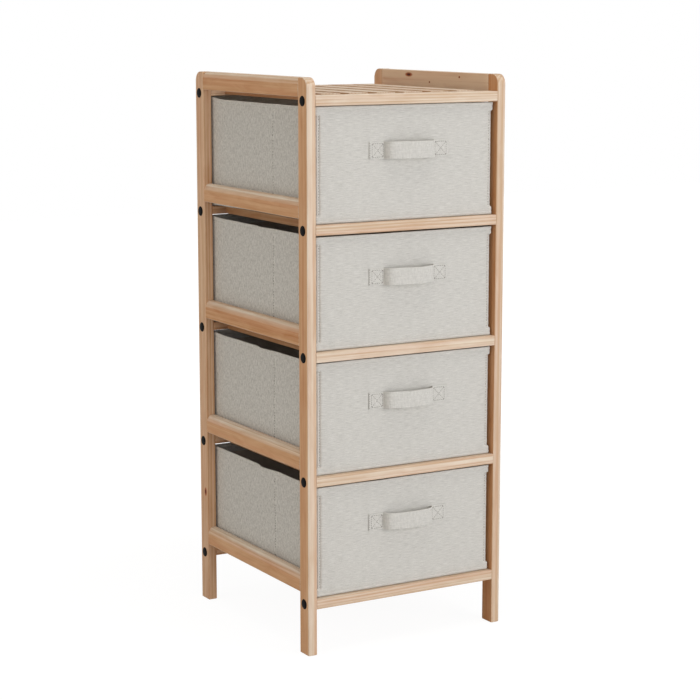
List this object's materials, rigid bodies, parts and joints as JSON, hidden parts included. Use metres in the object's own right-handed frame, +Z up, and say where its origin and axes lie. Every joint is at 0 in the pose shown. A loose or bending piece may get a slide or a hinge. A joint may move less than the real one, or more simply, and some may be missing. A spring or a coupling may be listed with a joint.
{
  "type": "drawer cabinet",
  "caption": "Narrow floor-standing drawer cabinet: a slatted pine frame, bolted together, that holds fabric bins with strap handles, which slide out to the front.",
  "frame": {"origin": "on the floor, in the middle of the outline of frame and handles together", "axes": "+X to the right as seen from the front, +Y to the back, +Z up; the drawers slide out along -Y"},
  "size_m": [0.3522, 0.3786, 0.87],
  "materials": {
    "pine": "oiled pine with a fine straight grain",
    "bolt_black": "black, slightly glossy",
    "linen_fabric": "light grey-beige linen weave, black lining",
    "strap_fabric": "folded linen strap with grey stitching"
  },
  "bodies": {
    "frame": {"post_left_front": "pine", "post_left_back": "pine", "post_right_front": "pine", "post_right_back": "pine", "side_rail_left_1": "pine", "side_rail_left_2": "pine", "side_rail_left_3": "pine", "side_rail_left_4": "pine", "side_rail_left_5": "pine", "side_rail_right_1": "pine", "side_rail_right_2": "pine", "side_rail_right_3": "pine", "side_rail_right_4": "pine", "side_rail_right_5": "pine", "front_rail_1": "pine", "front_rail_2": "pine", "front_rail_3": "pine", "front_rail_4": "pine", "front_rail_5": "pine", "back_rail_1": "pine", "top_slat_1": "pine", "top_slat_2": "pine", "top_slat_3": "pine", "top_slat_4": "pine", "top_slat_5": "pine", "top_slat_6": "pine", "slat_grid_2": "pine", "slat_grid_3": "pine", "slat_grid_4": "pine", "slat_grid_5": "pine", "bolt_left_front_1": "bolt_black", "bolt_left_front_2": "bolt_black", "bolt_left_front_3": "bolt_black", "bolt_left_front_4": "bolt_black", "bolt_left_front_5": "bolt_black", "bolt_left_back_1": "bolt_black", "bolt_left_back_2": "bolt_black", "bolt_left_back_3": "bolt_black", "bolt_left_back_4": "bolt_black", "bolt_left_back_5": "bolt_black", "bolt_right_front_1": "bolt_black", "bolt_right_front_2": "bolt_black", "bolt_right_front_3": "bolt_black", "bolt_right_front_4": "bolt_black", "bolt_right_front_5": "bolt_black", "bolt_right_back_1": "bolt_black", "bolt_right_back_2": "bolt_black", "bolt_right_back_3": "bolt_black", "bolt_right_back_4": "bolt_black", "bolt_right_back_5": "bolt_black"},
    "drawer_1": {"drawer_1_bin": "linen_fabric", "drawer_1_handle": "strap_fabric"},
    "drawer_2": {"drawer_2_bin": "linen_fabric", "drawer_2_handle": "strap_fabric"},
    "drawer_3": {"drawer_3_bin": "linen_fabric", "drawer_3_handle": "strap_fabric"},
    "drawer_4": {"drawer_4_bin": "linen_fabric", "drawer_4_handle": "strap_fabric"}
  },
  "joints": [
    {"name": "drawer_1_slide", "type": "slide", "parent": "frame", "child": "drawer_1", "axis": [0, -1, 0], "range_m": [0, 0.29]},
    {"name": "drawer_2_slide", "type": "slide", "parent": "frame", "child": "drawer_2", "axis": [0, -1, 0], "range_m": [0, 0.29]},
    {"name": "drawer_3_slide", "type": "slide", "parent": "frame", "child": "drawer_3", "axis": [0, -1, 0], "range_m": [0, 0.29]},
    {"name": "drawer_4_slide", "type": "slide", "parent": "frame", "child": "drawer_4", "axis": [0, -1, 0], "range_m": [0, 0.29]}
  ]
}
